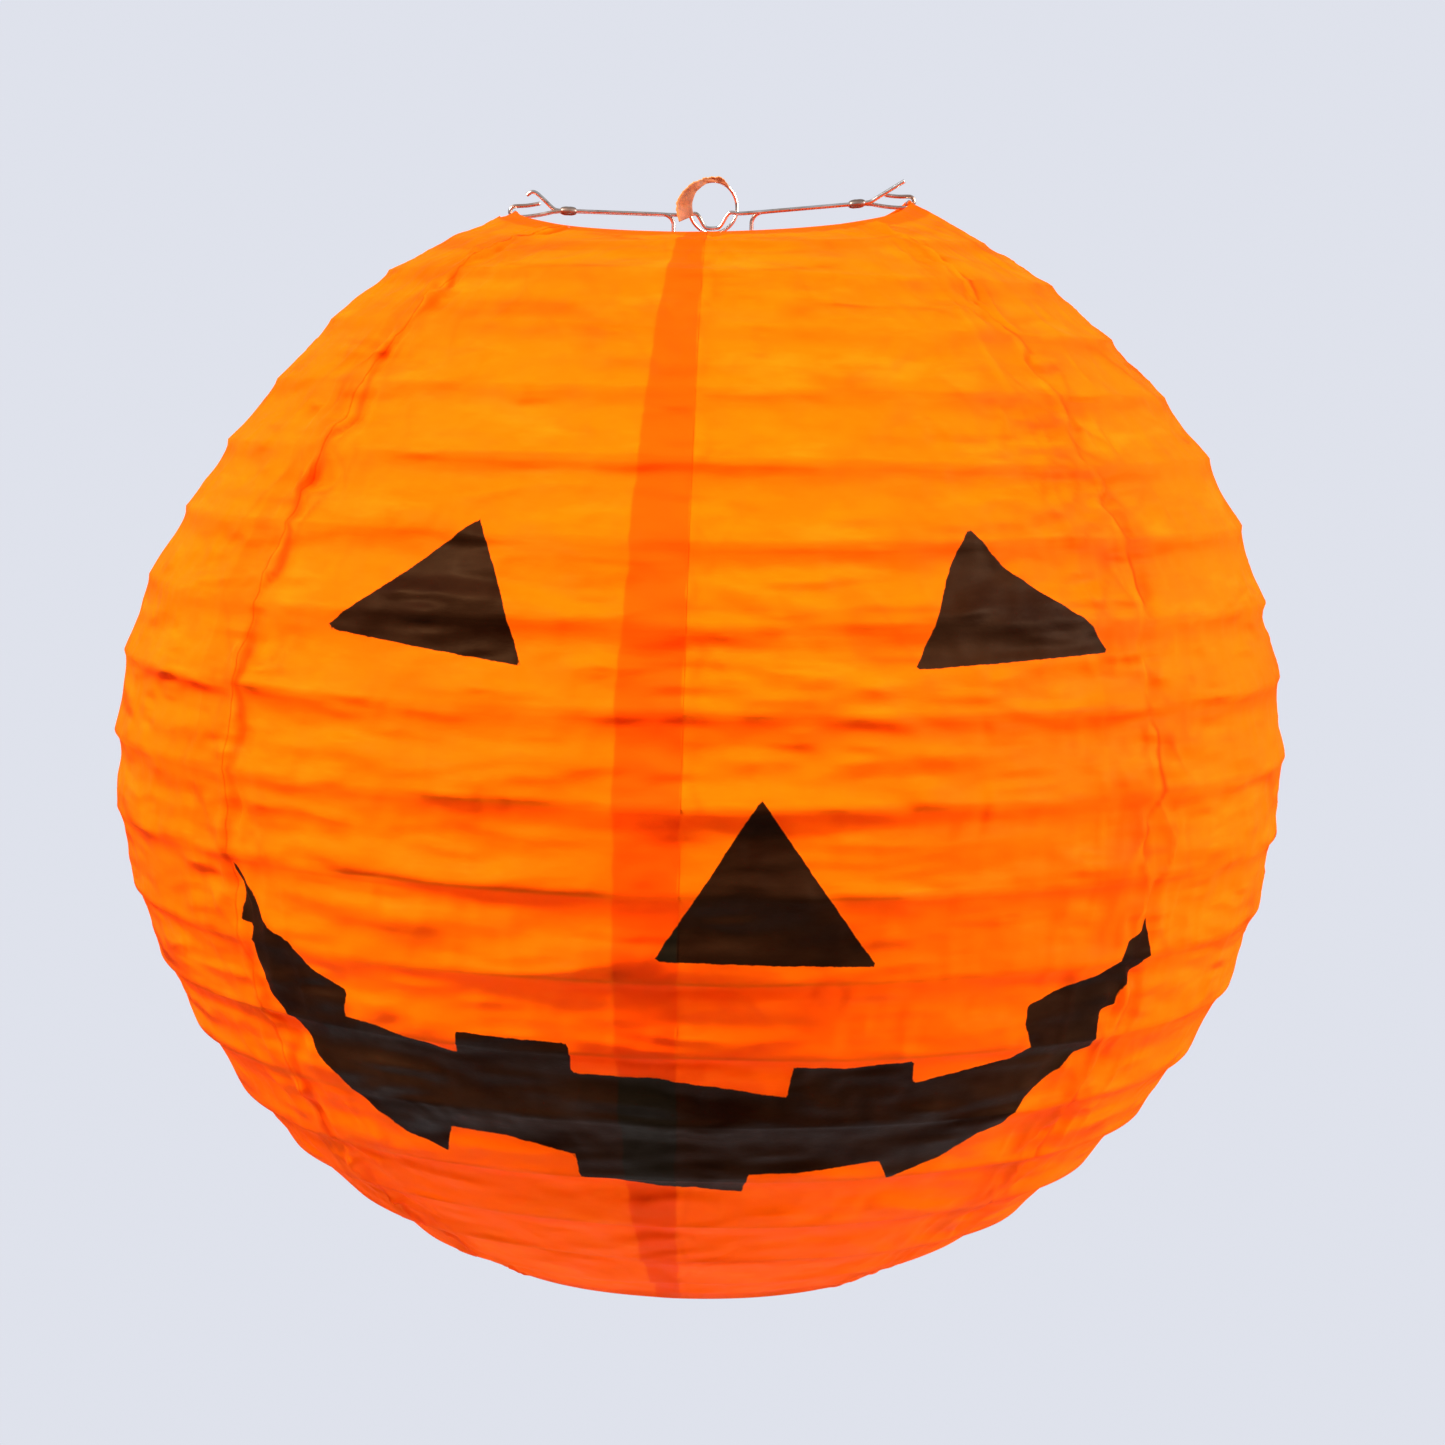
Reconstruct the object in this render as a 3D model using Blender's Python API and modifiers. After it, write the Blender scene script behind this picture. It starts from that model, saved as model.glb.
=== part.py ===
"""Accordion paper lantern: eight glued paper panels on wire rings, held open by a sprung wire expander.

Units are metres, +Z is up and the lantern's front faces -Y. The origin is the top of the hanging
ring's hole, where a hook or cord carries the lantern. Azimuth 0 is the front and 90 degrees is +X.
"""

import math

import bmesh
import bpy
import numpy as np
from mathutils import Matrix, Vector

# Outline of the paper body: a superellipse above the equator and a slightly flatter one below it.
BODY_R = 0.150
UPPER_HEIGHT = 0.149
UPPER_POWER = 1.85
LOWER_HEIGHT = 0.143
LOWER_POWER = 1.97
TOP_OPENING_R = 0.0505
BOTTOM_OPENING_R = 0.055

# Rings and paper.
RIB_COUNT = 17
RIB_WIRE_R = 0.0004
END_WIRE_R = 0.0006
RING_SEGMENTS = 32
PANEL_COUNT = 8
PANEL_COLUMNS = 4
SEAM_AZIMUTH = math.radians(-7.1)
LAP_ANGLE = math.radians(5.6)
PAPER_THICKNESS = 0.0003
GAP = 0.0003

# The top ring hangs from two hooks and droops between them, and the first rib follows it a little.
TOP_RING_DROOP = 0.009
FIRST_RIB_SHARE = 1 / 3
# The opening and the expander lean: the right hook stands higher than the left one.
TOP_LEAN = math.radians(3.0)

# The expander: a hanger wire with a dip in its middle, and two leg wires beside its arms.
WIRE_R = 0.0005
DIP_DEPTH = 0.0035
ARM_DROP = 0.002
ARM_START = 0.0065
ARM_END = 0.0395
LEG_RADIUS = 0.010
TIP_RADIUS = 0.0490
TIP_RISE = 0.0052
FERRULE_LENGTH = 0.0040
FERRULE_WALL = 0.0005

# The hanging ring and the scrap of paper on it.
HANG_HOLE_R = 0.0062
HANG_WIRE_R = 0.00045
RING_CROSSING = math.radians(18)
SCRAP_R = 0.0089
SCRAP_SHIFT = (-0.0014, -0.0013)
SCRAP_THICKNESS = 0.0003

# Paper orange, and the plated wire.
ORANGE = (0.92, 0.27, 0.01)
PLATED = (0.62, 0.60, 0.58)
COPPERY = (0.45, 0.22, 0.12)
BROWN = (0.42, 0.12, 0.02)

SEGMENT_ANGLE = 2 * math.pi / RING_SEGMENTS
HOOK_AZIMUTH = SEAM_AZIMUTH + 9 * SEGMENT_ANGLE
STRAND_OFFSET = WIRE_R + GAP / 2
RING_TURN = HOOK_AZIMUTH - math.pi / 2 + RING_CROSSING
DIP_Z = -2 * HANG_HOLE_R + GAP + WIRE_R
HOOK_Z = DIP_Z + DIP_DEPTH + ARM_DROP


def superellipse_height(radius, height, power):
    """Height above or below the equator where the outline has this radius."""
    return height * (1 - (radius / BODY_R) ** power) ** (1 / power)


EQUATOR_Z = HOOK_Z - superellipse_height(TOP_OPENING_R, UPPER_HEIGHT, UPPER_POWER)
BOTTOM_Z = EQUATOR_Z - superellipse_height(BOTTOM_OPENING_R, LOWER_HEIGHT, LOWER_POWER)


def half_outline(opening_r, height, power, sign):
    """Outline points from an opening to the equator, as (radius, z) rows."""
    edge = math.acos((opening_r / BODY_R) ** (power / 2))
    angle = np.linspace(edge, 0.0, 800)
    radius = BODY_R * np.cos(angle) ** (2 / power)
    z = EQUATOR_Z + sign * height * np.sin(angle) ** (2 / power)
    return np.column_stack((radius, z))


def ring_stations():
    """Centre radius, height and outward normal of each ring, at equal steps along the outline."""
    upper = half_outline(TOP_OPENING_R, UPPER_HEIGHT, UPPER_POWER, 1)
    lower = half_outline(BOTTOM_OPENING_R, LOWER_HEIGHT, LOWER_POWER, -1)[::-1]
    outline = np.vstack((upper, lower[1:]))
    steps = np.hypot(*np.diff(outline, axis=0).T)
    length = np.concatenate(([0.0], np.cumsum(steps)))
    stations = []
    for at in np.linspace(0.0, length[-1], RIB_COUNT + 2):
        radius = float(np.interp(at, length, outline[:, 0]))
        z = float(np.interp(at, length, outline[:, 1]))
        before, after = max(at - 0.002, 0.0), min(at + 0.002, length[-1])
        run = np.interp(after, length, outline[:, 0]) - np.interp(before, length, outline[:, 0])
        fall = np.interp(after, length, outline[:, 1]) - np.interp(before, length, outline[:, 1])
        normal = Vector((-fall, run)).normalized()
        stations.append((radius, z, normal))
    return stations


def droop(index, radius, azimuth):
    """How far a ring and the paper on it hang below level, between the hooks and from the lean."""
    share = {0: 1.0, 1: FIRST_RIB_SHARE}.get(index, 0.0)
    turn = azimuth - HOOK_AZIMUTH
    return share * (TOP_RING_DROOP * abs(math.sin(turn)) - math.tan(TOP_LEAN) * radius * math.cos(turn))


def around(radius, azimuth, z):
    """Point at an azimuth measured from the front towards +X."""
    return Vector((radius * math.sin(azimuth), -radius * math.cos(azimuth), z))


def azimuth_of(point):
    """Azimuth of a point, the inverse of around()."""
    return math.atan2(point.x, -point.y)


def material(name, colour, roughness, metallic=0.0):
    """A Principled material with one colour."""
    made = bpy.data.materials.new(name)
    made.use_nodes = True
    shader = made.node_tree.nodes["Principled BSDF"]
    shader.inputs["Base Color"].default_value = (*colour, 1.0)
    shader.inputs["Roughness"].default_value = roughness
    shader.inputs["Metallic"].default_value = metallic
    made.diffuse_color = (*colour, 1.0)
    return made


def clear_scene():
    """Removes what the scene holds at the start."""
    for obj in list(bpy.data.objects):
        bpy.data.objects.remove(obj, do_unlink=True)


def new_collection(name):
    """A collection linked to the scene."""
    made = bpy.data.collections.new(name)
    bpy.context.scene.collection.children.link(made)
    return made


def move_to(obj, collection):
    """Puts an object in one collection only."""
    for old in list(obj.users_collection):
        old.objects.unlink(obj)
    collection.objects.link(obj)


def finish(obj, name, coat, collection, smooth_angle=50):
    """Names an object, gives it a material of its own and shades it."""
    obj.name = name
    obj.data.name = name
    obj.data.materials.clear()
    obj.data.materials.append(material(name + "_coat", *coat))
    if obj.type == "MESH":
        obj.data.shade_smooth()
        obj.data.set_sharp_from_angle(angle=math.radians(smooth_angle))
    move_to(obj, collection)
    return obj


def wire_ring(name, index, station, wire_r, minor_segments, coat, collection):
    """A closed wire ring on the lantern's axis, with any droop bent into it."""
    radius, z, _ = station
    bpy.ops.mesh.primitive_torus_add(
        major_segments=RING_SEGMENTS,
        minor_segments=minor_segments,
        major_radius=radius,
        minor_radius=wire_r,
        location=(0, 0, z),
    )
    ring = bpy.context.object
    turn = Matrix.Rotation(SEAM_AZIMUTH - math.pi / 2, 4, "Z")
    ring.data.transform(turn)
    for vertex in ring.data.vertices:
        vertex.co.z -= droop(index, radius, azimuth_of(vertex.co))
    return finish(ring, name, coat, collection)


def panel_azimuths():
    """Azimuths of a panel's columns, from its own edge to the far edge of its lap."""
    own = [step * 2 * math.pi / PANEL_COUNT / PANEL_COLUMNS for step in range(PANEL_COLUMNS + 1)]
    return sorted(own + [LAP_ANGLE, own[-1] + LAP_ANGLE])


def panel_point(index, station, azimuth, over_lap):
    """Inner surface of the paper at a ring, lifted where it lies over the next panel."""
    radius, z, normal = station
    wire_r = END_WIRE_R if index in (0, RIB_COUNT + 1) else RIB_WIRE_R
    lift = wire_r + GAP
    if over_lap:
        lift += PAPER_THICKNESS + GAP
    sunk = droop(index, radius, azimuth)
    return around(radius + normal.x * lift, azimuth, z + normal.y * lift - sunk)


def paper_panel(number, stations, cutters, collection):
    """One paper gore: a grid laid over the rings from the top edge to the bottom edge."""
    start = SEAM_AZIMUTH + (number - 1) * 2 * math.pi / PANEL_COUNT
    columns = panel_azimuths()
    own_width = 2 * math.pi / PANEL_COUNT
    grid = bmesh.new()
    bmesh.ops.create_grid(grid, x_segments=len(columns) - 1, y_segments=len(stations) - 1, size=0.5)
    for vertex in grid.verts:
        column = round((vertex.co.x + 0.5) * (len(columns) - 1))
        row = round((0.5 - vertex.co.y) * (len(stations) - 1))
        turn = columns[column]
        over_lap = turn > own_width - 1e-6
        vertex.co = panel_point(row, stations[row], start + turn, over_lap)
    mesh = bpy.data.meshes.new("panel")
    grid.to_mesh(mesh)
    grid.free()
    panel = bpy.data.objects.new("panel", mesh)
    bpy.context.scene.collection.objects.link(panel)
    shell = panel.modifiers.new("paper", "SOLIDIFY")
    shell.thickness = PAPER_THICKNESS
    shell.offset = 1.0
    for cutter in cutters:
        notch = panel.modifiers.new("hook notch", "BOOLEAN")
        notch.operation = "DIFFERENCE"
        notch.object = cutter
    return finish(panel, f"paper_panel_{number}", (ORANGE, 0.75), collection)


def notch_cutter(side, collection):
    """A block that opens the paper's top edge where a hook passes round the top ring."""
    azimuth = HOOK_AZIMUTH + (math.pi if side == "left" else 0.0)
    bpy.ops.mesh.primitive_cube_add(size=1.0)
    block = bpy.context.object
    block.data.transform(Matrix.Diagonal((0.0050, 0.0090, 0.0080, 1.0)))
    block.location = around(TOP_OPENING_R - 0.0006, azimuth, HOOK_Z - droop(0, TOP_OPENING_R, azimuth))
    block.rotation_euler.z = azimuth
    block.name = f"{side}_notch_cutter"
    block.hide_render = True
    block.display_type = "WIRE"
    move_to(block, collection)
    return block


def arm_z(radius):
    """Height of the expander's arms, which drop a little towards the middle."""
    share = (radius - ARM_START) / (ARM_END - ARM_START)
    return HOOK_Z - ARM_DROP * (1 - min(max(share, 0.0), 1.0))


def in_expander(radius, across, z, side):
    """Point in the expander's own plane, turned half way round for the left side.

    The lean is full at the hooks and fades to nothing at the feet.
    """
    azimuth = HOOK_AZIMUTH + (math.pi if side == "left" else 0.0)
    outward = Vector((math.sin(azimuth), -math.cos(azimuth), 0.0))
    sideways = Vector((math.cos(azimuth), math.sin(azimuth), 0.0))
    lean = math.tan(TOP_LEAN) * radius * (z - BOTTOM_Z) / (HOOK_Z - BOTTOM_Z)
    height = z - lean if side == "left" else z + lean
    return outward * radius + sideways * across + Vector((0.0, 0.0, height))


def tube(name, points, radius, collection, coat):
    """A wire: a poly curve with a round bevel and closed ends."""
    curve = bpy.data.curves.new(name, "CURVE")
    curve.dimensions = "3D"
    curve.bevel_depth = radius
    curve.bevel_resolution = 2
    curve.use_fill_caps = True
    spline = curve.splines.new("POLY")
    spline.points.add(len(points) - 1)
    for place, point in zip(spline.points, points):
        place.co = (*point, 1.0)
    wire = bpy.data.objects.new(name, curve)
    bpy.context.scene.collection.objects.link(wire)
    return finish(wire, name, coat, collection)


def bend(centre_r, centre_z, radius, start, end, count):
    """Points on a round bend in the expander's plane, as (radius, z), angles in degrees."""
    angles = np.radians(np.linspace(start, end, count))
    return [(centre_r + radius * math.cos(a), centre_z + radius * math.sin(a)) for a in angles]


def hanger_half():
    """The hanger wire from beside the dip's bottom out to one rising tip, as (radius, across, z)."""
    dip = [
        (0.0010, -0.15, DIP_Z),
        (0.0020, -0.30, DIP_Z + 0.10 * DIP_DEPTH),
        (0.0034, -0.60, DIP_Z + 0.85 * DIP_DEPTH),
        (0.0042, -0.85, DIP_Z + 1.10 * DIP_DEPTH),
        (0.0053, -1.00, DIP_Z + 1.12 * DIP_DEPTH),
    ]
    arm = [(radius, -1.0, arm_z(radius)) for radius in (ARM_START, 0.024, ARM_END)]
    tip = [
        (ARM_END + 0.0014, -1.0, HOOK_Z + 0.0004),
        (ARM_END + 0.0026, -1.1, HOOK_Z + 0.0012),
        (TIP_RADIUS, -1.8, HOOK_Z + TIP_RISE),
    ]
    return [(radius, share * STRAND_OFFSET, z) for radius, share, z in dip + arm + tip]


def hanger_wire(collection):
    """The wire that spans the top opening, with the dip that the hanging ring sits under."""
    half = hanger_half()
    left = [in_expander(*point, "left") for point in reversed(half)]
    right = [in_expander(*point, "right") for point in half]
    return tube("hanger_wire", left + right, WIRE_R, collection, (PLATED, 0.25, 1.0))


def leg_wire(side, collection):
    """One leg: its foot inside the bottom ring, the upright, the arm and the hook on the top ring."""
    grip = END_WIRE_R + WIRE_R + GAP
    foot_r = BOTTOM_OPENING_R - END_WIRE_R - WIRE_R - GAP
    foot = bend(foot_r - 0.0022, BOTTOM_Z + 0.0022, 0.0022, 0, -90, 4)
    heel = bend(LEG_RADIUS + 0.004, BOTTOM_Z + 0.0040, 0.0040, 270, 180, 4)
    shoulder = bend(LEG_RADIUS + 0.003, arm_z(LEG_RADIUS + 0.003) - 0.003, 0.003, 180, 90, 4)
    arm = [(0.026, arm_z(0.026)), (ARM_END, HOOK_Z)]
    under = [(ARM_END + 0.004, HOOK_Z - 0.0009), (TOP_OPENING_R - 0.003, HOOK_Z - grip)]
    hook = bend(TOP_OPENING_R, HOOK_Z, grip, -90, 90, 6)
    over = [(TOP_OPENING_R - 0.0030, HOOK_Z + grip), (TOP_OPENING_R - 0.0062, HOOK_Z + 0.0019)]
    path = [(foot_r, BOTTOM_Z + 0.0040)] + foot + heel + shoulder + arm + under + hook + over
    points = [in_expander(radius, STRAND_OFFSET, z, side) for radius, z in path]
    return tube(f"{side}_leg_wire", points, WIRE_R, collection, (COPPERY, 0.3, 1.0))


def oval_cylinder(half_width, half_height, length):
    """A cylinder along X with an oval section."""
    bpy.ops.mesh.primitive_cylinder_add(vertices=20, radius=1.0, depth=length)
    made = bpy.context.object
    made.data.transform(Matrix.Rotation(math.pi / 2, 4, "Y"))
    made.data.transform(Matrix.Diagonal((1.0, half_width, half_height, 1.0)))
    return made


def ferrule(side, cutters, collection):
    """The sleeve that clamps a leg wire to the hanger wire near the hook."""
    middle = ARM_END - FERRULE_LENGTH / 2 - 0.0005
    half_width = STRAND_OFFSET + WIRE_R + GAP
    half_height = WIRE_R + GAP
    sleeve = oval_cylinder(half_width + FERRULE_WALL, half_height + FERRULE_WALL, FERRULE_LENGTH)
    hole = oval_cylinder(half_width, half_height, FERRULE_LENGTH * 1.5)
    slope = math.atan2(ARM_DROP, ARM_END - ARM_START) + (-TOP_LEAN if side == "left" else TOP_LEAN)
    turn = HOOK_AZIMUTH - math.pi / 2 + (math.pi if side == "left" else 0.0)
    for obj in (sleeve, hole):
        obj.location = in_expander(middle, 0.0, arm_z(middle), side)
        obj.rotation_euler = (0.0, -slope, turn)
    hole.name = f"{side}_ferrule_hole_cutter"
    hole.hide_render = True
    hole.display_type = "WIRE"
    move_to(hole, cutters)
    cut = sleeve.modifiers.new("hole", "BOOLEAN")
    cut.operation = "DIFFERENCE"
    cut.object = hole
    return finish(sleeve, f"{side}_ferrule", (COPPERY, 0.4, 1.0), collection)


def hanging_ring(collection):
    """The small wire ring that the dip hangs in, standing across the expander at a small angle."""
    bpy.ops.mesh.primitive_torus_add(
        major_segments=28,
        minor_segments=6,
        major_radius=HANG_HOLE_R + HANG_WIRE_R,
        minor_radius=HANG_WIRE_R,
        location=(0, 0, -HANG_HOLE_R),
        rotation=(math.pi / 2, 0, RING_TURN),
    )
    return finish(bpy.context.object, "hanging_ring", (PLATED, 0.25, 1.0), collection)


def scrap_outline():
    """Outline of the scrap, a crescent whose inner edge follows the hanging ring's hole."""
    outer = []
    for degrees in range(196, 53, -13):
        angle = math.radians(degrees)
        x = SCRAP_SHIFT[0] + SCRAP_R * math.cos(angle)
        outer.append((x, SCRAP_SHIFT[1] + SCRAP_R * math.sin(angle)))
    inner = []
    for degrees in range(48, 204, 13):
        angle = math.radians(degrees)
        inner.append((HANG_HOLE_R * math.cos(angle), HANG_HOLE_R * math.sin(angle)))
    return outer + inner


def ring_scrap(collection):
    """The torn paper scrap stuck on the front of the hanging ring, round its left and top."""
    curve = bpy.data.curves.new("ring_scrap", "CURVE")
    curve.dimensions = "2D"
    curve.fill_mode = "BOTH"
    curve.extrude = SCRAP_THICKNESS / 2
    outline = scrap_outline()
    spline = curve.splines.new("POLY")
    spline.points.add(len(outline) - 1)
    for place, (x, y) in zip(spline.points, outline):
        place.co = (x, y, 0.0, 1.0)
    spline.use_cyclic_u = True
    scrap = bpy.data.objects.new("ring_scrap", curve)
    bpy.context.scene.collection.objects.link(scrap)
    forward = HANG_WIRE_R + GAP + SCRAP_THICKNESS / 2
    scrap.location = around(forward, RING_TURN, -HANG_HOLE_R)
    scrap.rotation_euler = (math.pi / 2, 0, RING_TURN)
    return finish(scrap, "ring_scrap", (BROWN, 0.7), collection)


def parent_to_pivot(objects):
    """Parents what swings with the lantern to an empty on the swing axis, at the dip."""
    pivot = bpy.data.objects.new("swing_pivot", None)
    bpy.context.scene.collection.objects.link(pivot)
    pivot.empty_display_size = 0.02
    pivot.location = (0, 0, DIP_Z)
    pivot.rotation_euler = (0, 0, HOOK_AZIMUTH - math.pi / 2)
    bpy.context.view_layer.update()
    for obj in objects:
        obj.parent = pivot
        obj.matrix_parent_inverse = pivot.matrix_world.inverted()
    return pivot


def main():
    clear_scene()
    parts = new_collection("accordion_paper_lantern")
    cutters = new_collection("cutters")
    stations = ring_stations()
    plated = (PLATED, 0.3, 1.0)
    swinging = [wire_ring("top_ring", 0, stations[0], END_WIRE_R, 6, plated, parts)]
    for index in range(1, RIB_COUNT + 1):
        name = f"rib_ring_{index:02d}"
        ring = wire_ring(name, index, stations[index], RIB_WIRE_R, 5, plated, parts)
        swinging.append(ring)
    last = RIB_COUNT + 1
    swinging.append(wire_ring("bottom_ring", last, stations[last], END_WIRE_R, 6, plated, parts))
    notches = {3: [notch_cutter("right", cutters)], 7: [notch_cutter("left", cutters)]}
    for number in range(1, PANEL_COUNT + 1):
        swinging.append(paper_panel(number, stations, notches.get(number, []), parts))
    swinging.append(hanger_wire(parts))
    for side in ("left", "right"):
        swinging.append(leg_wire(side, parts))
        swinging.append(ferrule(side, cutters, parts))
    hanging_ring(parts)
    ring_scrap(parts)
    parent_to_pivot(swinging)


main()
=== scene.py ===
import math

import bmesh
import bpy
import numpy as np
from mathutils import Matrix, Vector


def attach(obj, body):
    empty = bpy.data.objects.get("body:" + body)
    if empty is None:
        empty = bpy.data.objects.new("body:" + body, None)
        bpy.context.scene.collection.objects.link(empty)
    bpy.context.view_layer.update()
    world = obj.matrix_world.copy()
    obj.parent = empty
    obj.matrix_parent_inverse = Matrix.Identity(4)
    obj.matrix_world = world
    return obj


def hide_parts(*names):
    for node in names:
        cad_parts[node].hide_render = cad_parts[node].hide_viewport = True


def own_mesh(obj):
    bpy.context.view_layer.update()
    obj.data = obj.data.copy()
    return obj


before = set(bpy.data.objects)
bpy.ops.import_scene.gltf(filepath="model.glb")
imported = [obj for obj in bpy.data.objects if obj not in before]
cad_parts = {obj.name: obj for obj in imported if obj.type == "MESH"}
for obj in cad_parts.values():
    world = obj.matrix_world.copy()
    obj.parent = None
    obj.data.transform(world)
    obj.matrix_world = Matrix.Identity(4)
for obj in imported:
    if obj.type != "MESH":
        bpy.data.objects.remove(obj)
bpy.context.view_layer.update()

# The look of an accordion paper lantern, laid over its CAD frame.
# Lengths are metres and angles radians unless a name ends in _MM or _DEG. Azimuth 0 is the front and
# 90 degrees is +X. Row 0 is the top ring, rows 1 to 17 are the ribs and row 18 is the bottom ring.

MM = 0.001

# What the CAD frame is made with.
RIB_COUNT = 17
PANEL_COUNT = 8
PANEL_ANGLE = 2 * math.pi / PANEL_COUNT
SEAM_AZIMUTH = math.radians(-7.1)
LAP_ANGLE = math.radians(5.6)
HOOK_AZIMUTH = SEAM_AZIMUTH + math.radians(101.25)
RING_TURN = HOOK_AZIMUTH - math.pi / 2 + math.radians(18)
RIB_WIRE_R = 0.4 * MM
END_WIRE_R = 0.6 * MM
TOP_RING_DROOP = 9 * MM
FIRST_RIB_SHARE = 1 / 3
TOP_LEAN = math.radians(3.0)
WIRE_R = 0.5 * MM
GAP = 0.3 * MM
STRAND_OFFSET = WIRE_R + GAP / 2
HANG_HOLE_R = 6.2 * MM
HANG_WIRE_R = 0.45 * MM
DIP_DEPTH = 3.5 * MM
ARM_DROP = 2 * MM
ARM_START = 6.5 * MM
ARM_END = 39.5 * MM
TIP_RADIUS = 49 * MM
LEG_RADIUS = 10 * MM
FERRULE_LENGTH = 4 * MM

# How finely the paper is meshed, across a panel and from wire to wire, and a sleeve, along and round.
PANEL_STEPS = 120
CELL_STEPS = 14
SLEEVE_STEPS = 13
SLEEVE_SIDES = 32

# How the paper lies on the wires. HEM is a share of the distance between two wires, and the paper
# leaves a wire at a slope of STEEPEST at most.
HEM = 0.24
PAPER_CLEARANCE = 0.15 * MM
LAP_LIFT = 0.13 * MM
STEEPEST = 0.75
CELL_SAG = 1.25 * MM
SHOULDER_SHIFT = 3 * MM
NOTCH_HALF_WIDTH = 2.6 * MM
NOTCH_ROWS = 0.20

# How crumpled the paper is along each seam, from the front seam round by the right.
SEAM_CRUMPLE = (0.25, 1.0, 0.5, 0.7, 0.5, 0.8, 0.5, 0.9)

# Fields of folds in the paper: cells round the lantern, cells from top to bottom, and a seed.
LONG_FOLDS = (13, 33, 1)
SHORT_FOLDS = (27, 60, 2)
RIGHT_LEANING_FOLDS = (70, 24, 3)
LEFT_LEANING_FOLDS = (64, 27, 4)
SWELLS = (30, 50, 5)
PATCHES = (14, 12, 7)
PUCKERS = (100, 80, 8)
STEEP_FOLDS = (150, 20, 9)
SEAM_WANDER = (8, 52, 11)
FINE_FOLDS = (90, 100, 12)
SAG_DEPTHS = (17, 18, 21)

# How far the two fields of leaning folds are turned, in turns, from the paper's top to its bottom.
RIGHT_LEAN = 0.22
LEFT_LEAN = -0.26

# The torn scrap: the crescent's radius, its shift from the ring's middle and the arc it covers.
SCRAP_RADIUS = 8.9 * MM
SCRAP_SHIFT = (-1.4 * MM, -1.3 * MM)
SCRAP_START_DEG = 203
SCRAP_ARC_DEG = 155

# The set. The background is seen at full strength and lights the lantern with less.
FLOOR_RADIUS = 0.60
FLOOR_LEVEL = -0.85
BACKGROUND = (0.737, 0.761, 0.838, 1.0)
FILL_FROM_BELOW = 0.22
FILL_FROM_ABOVE = 0.62
LIGHTS = (
    ("key light", (-1.25, -0.80, 1.10), 0.5, 102.0, (1.0, 0.97, 0.92)),
    ("side light", (1.45, -0.40, 0.45), 0.8, 66.0, (1.0, 0.98, 0.96)),
)

# The level that the face and the camera are placed from, below the widest rib.
FACE_LEVEL_BELOW_RIB = 1.4 * MM

# The camera, which stands a little above the face level and leans to one side.
CAMERA_DISTANCE = 0.8344
CAMERA_ELEVATION = math.radians(6.50)
CAMERA_ROLL = math.radians(1.4)
CAMERA_LENS_MM = 79.64
CAMERA_SHIFT = (0.0155, 0.0087)

# The printed face in front elevation: millimetres right of the axis and above the face level.
LEFT_EYE_MM = [(-49.8, 61.1), (-85.4, 35.6), (-39.5, 30.2)]
RIGHT_EYE_MM = [
    (58.3, 61.4), (67.7, 52.9), (75.9, 47.2), (85.5, 41.6), (87.9, 39.5), (92.1, 33.9), (46.7, 31.2),
    (51.0, 41.3), (54.4, 53.4),
]
NOSE_MM = [(13.6, 3.5), (-9.2, -33.1), (40.1, -34.2)]
MOUTH_MM = [
    (-107.9, -20.0), (-105.2, -27.7), (-105.3, -34.2), (-102.3, -34.5), (-101.6, -40.7), (-98.6, -50.9),
    (-94.7, -54.7), (-89.4, -61.1), (-87.5, -65.6), (-81.2, -70.2), (-73.9, -77.1), (-66.3, -81.9),
    (-55.9, -86.0), (-55.0, -79.1), (-42.1, -79.9), (-26.0, -83.4), (-25.0, -88.9), (-5.2, -91.6),
    (12.2, -93.1), (13.3, -86.8), (25.6, -86.5), (43.5, -84.4), (45.3, -89.1), (58.0, -84.6),
    (66.4, -79.5), (72.8, -77.4), (76.9, -70.0), (85.2, -64.2), (88.8, -60.2), (92.8, -59.3),
    (94.0, -49.6), (97.2, -48.6), (99.8, -43.6), (103.9, -39.7), (105.5, -37.2), (104.2, -27.2),
    (102.9, -31.0), (99.4, -32.9), (97.3, -37.8), (93.0, -40.7), (83.3, -43.4), (76.0, -46.3),
    (75.5, -51.0), (77.0, -56.9), (73.3, -59.3), (58.2, -62.4), (50.2, -64.1), (50.0, -58.1),
    (34.0, -59.3), (22.8, -58.8), (21.5, -66.5), (12.6, -65.6), (-9.0, -62.3), (-27.0, -61.7),
    (-27.4, -53.6), (-41.6, -53.4), (-53.0, -53.1), (-53.1, -59.0), (-64.9, -55.8), (-71.1, -54.2),
    (-79.3, -53.3), (-79.7, -51.1), (-79.0, -47.2), (-88.2, -42.5), (-92.3, -36.5), (-97.6, -34.8),
    (-99.3, -31.7), (-102.7, -26.0),
]


# Small tools for numbers.

def eased(share):
    """Smooth step from 0 to 1."""
    share = np.clip(share, 0.0, 1.0)
    return share * share * (3 - 2 * share)


def turned_noise(turn, place, turn_cells, place_cells, seed):
    """Smooth random values from -1 to 1. turn repeats after 1 and place runs from 0 to 1."""
    table = np.random.default_rng(seed).uniform(-1, 1, (turn_cells, place_cells + 2))
    across = (turn % 1.0) * turn_cells
    along = np.clip(place, 0.0, 1.0) * place_cells
    left = np.floor(across).astype(int)
    low = np.floor(along).astype(int)
    share_across = eased(across - left)
    share_along = eased(along - low)
    left %= turn_cells
    right = (left + 1) % turn_cells
    bottom = table[left, low] * (1 - share_across) + table[right, low] * share_across
    top = table[left, low + 1] * (1 - share_across) + table[right, low + 1] * share_across
    return bottom * (1 - share_along) + top * share_along


def ridged(values, sharpness=1.0):
    """Turns smooth noise into creases: 1 on a crease line and falling off to both sides."""
    return (1 - np.abs(values)) ** sharpness


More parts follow.
